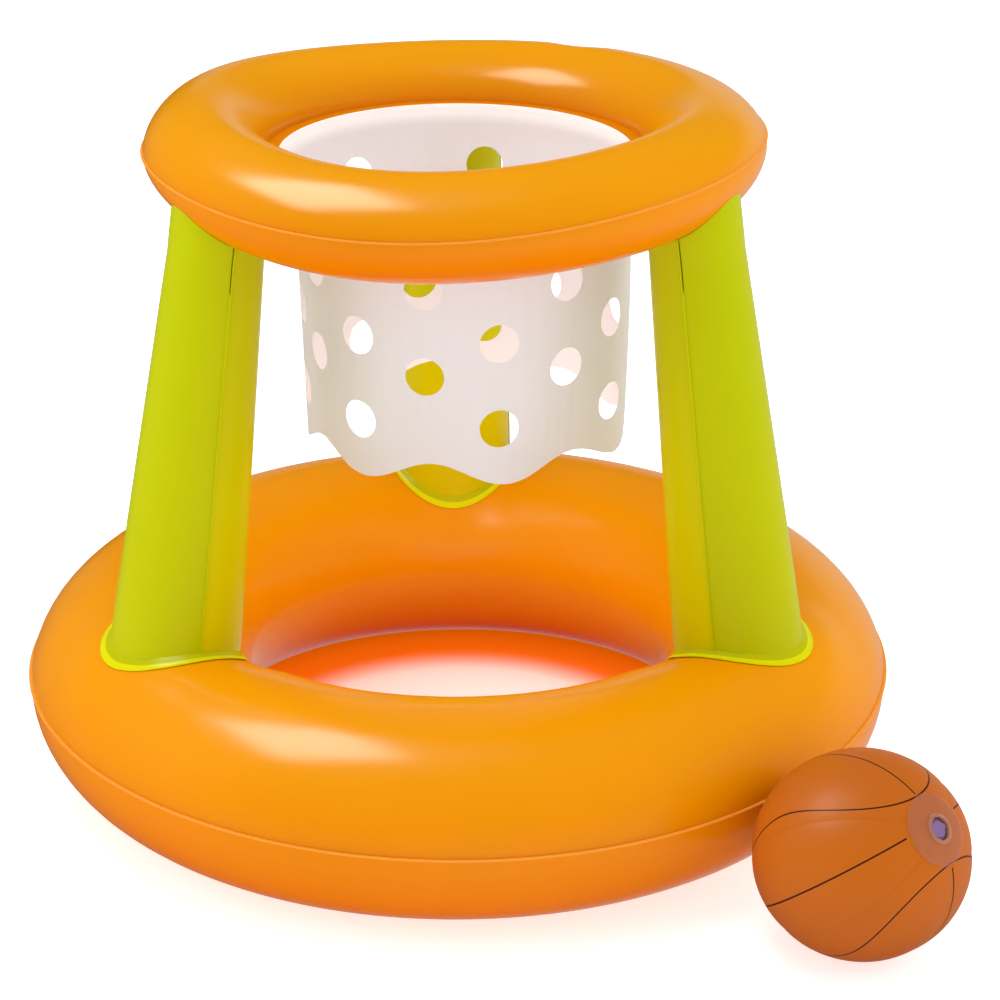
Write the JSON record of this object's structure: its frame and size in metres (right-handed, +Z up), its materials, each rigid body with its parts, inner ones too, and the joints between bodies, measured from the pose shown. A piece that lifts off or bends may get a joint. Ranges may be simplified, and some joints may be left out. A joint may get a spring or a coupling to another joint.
{
  "type": "inflatable floating basketball hoop",
  "caption": "Inflatable floating pool hoop: a large base ring, slanting legs, a smaller rim ring with a punched film net, and a small inflatable ball beside it.",
  "frame": {"origin": "on the floor, in the middle of the footprint of the hoop and ball together", "axes": "+Z up; the front of the hoop, where the net shows between two legs, faces -Y; the ball stands at +X -Y; +Y is the longest extent"},
  "size_m": [0.693, 0.7278, 0.531],
  "materials": {
    "orange_film": "glossy soft vinyl, slightly translucent",
    "lime_film": "glossy soft vinyl, slightly translucent",
    "bright_weld": "flat welded vinyl",
    "net_film": "milky translucent film",
    "ball_film": "satin vinyl",
    "clear_film": "clear film over coloured film",
    "clear_moulding": "clear soft moulding"
  },
  "bodies": {
    "hoop": {"base_upper_panel": "orange_film", "base_lower_panel": "orange_film", "base_valve_patch": "clear_film", "base_valve_collar": "clear_film", "rim_upper_panel": "orange_film", "rim_lower_panel": "orange_film", "rim_valve_patch": "clear_film", "rim_valve_collar": "clear_film", "leg_front_left_outer_panel": "lime_film", "leg_front_left_inner_panel": "lime_film", "leg_front_left_foot_flange": "bright_weld", "leg_front_left_head_flange": "lime_film", "leg_front_right_outer_panel": "lime_film", "leg_front_right_inner_panel": "lime_film", "leg_front_right_foot_flange": "bright_weld", "leg_front_right_head_flange": "lime_film", "leg_back_outer_panel": "lime_film", "leg_back_inner_panel": "lime_film", "leg_back_foot_flange": "bright_weld", "leg_back_head_flange": "lime_film", "net_top_band": "net_film", "net_sleeve": "net_film"},
    "ball": {"ball_panel_1": "ball_film", "ball_panel_2": "ball_film", "ball_panel_3": "ball_film", "ball_panel_4": "ball_film", "ball_panel_5": "ball_film", "ball_panel_6": "ball_film", "ball_far_cap": "ball_film", "ball_valve_patch": "clear_film", "ball_valve_collar": "clear_film"},
    "base_valve_stem": {"base_valve_stem": "clear_moulding"},
    "base_valve_flap": {"base_valve_flap": "clear_moulding"},
    "base_valve_stopper": {"base_valve_stopper": "clear_moulding"},
    "rim_valve_stem": {"rim_valve_stem": "clear_moulding"},
    "rim_valve_flap": {"rim_valve_flap": "clear_moulding"},
    "rim_valve_stopper": {"rim_valve_stopper": "clear_moulding"},
    "ball_valve_stem": {"ball_valve_stem": "clear_moulding"},
    "ball_valve_flap": {"ball_valve_flap": "clear_moulding"},
    "ball_valve_stopper": {"ball_valve_stopper": "clear_moulding"}
  },
  "joints": [
    {"name": "ball_lift", "type": "slide", "parent": "hoop", "child": "ball", "axis": [0, 0, 1], "range_m": [0, 0.6]},
    {"name": "base_valve_stem_slide", "type": "slide", "parent": "hoop", "child": "base_valve_stem", "axis": [0.4058, 0.7029, 0.5841], "range_m": [0, 0.01]},
    {"name": "base_valve_stopper_pull", "type": "slide", "parent": "base_valve_stem", "child": "base_valve_stopper", "axis": [0.4058, 0.7029, 0.5841], "range_m": [0, 0.008]},
    {"name": "base_valve_flap_hinge", "type": "hinge", "parent": "base_valve_stem", "child": "base_valve_flap", "pos_m": [0.14588, 0.29226, 0.11223], "axis": [-0.292, -0.5058, 0.8117], "range_deg": [0, 50], "stiffness_Nm_per_rad": 0.00002},
    {"name": "rim_valve_stem_slide", "type": "slide", "parent": "hoop", "child": "rim_valve_stem", "axis": [0.3166, 0.5484, 0.774], "range_m": [0, 0.01]},
    {"name": "rim_valve_stopper_pull", "type": "slide", "parent": "rim_valve_stem", "child": "rim_valve_stopper", "axis": [0.3166, 0.5484, 0.774], "range_m": [0, 0.008]},
    {"name": "rim_valve_flap_hinge", "type": "hinge", "parent": "rim_valve_stem", "child": "rim_valve_flap", "pos_m": [0.0966, 0.20689, 0.5093], "axis": [-0.387, -0.6703, 0.6332], "range_deg": [0, 50], "stiffness_Nm_per_rad": 0.00002},
    {"name": "ball_valve_stem_slide", "type": "slide", "parent": "ball", "child": "ball_valve_stem", "axis": [0.5926, -0.5449, 0.5931], "range_m": [0, 0.01]},
    {"name": "ball_valve_stopper_pull", "type": "slide", "parent": "ball_valve_stem", "child": "ball_valve_stopper", "axis": [0.5926, -0.5449, 0.5931], "range_m": [0, 0.008]},
    {"name": "ball_valve_flap_hinge", "type": "hinge", "parent": "ball_valve_stem", "child": "ball_valve_flap", "pos_m": [0.3048, -0.32578, 0.10837], "axis": [-0.4366, 0.4015, 0.8051], "range_deg": [0, 50], "stiffness_Nm_per_rad": 0.00002}
  ]
}
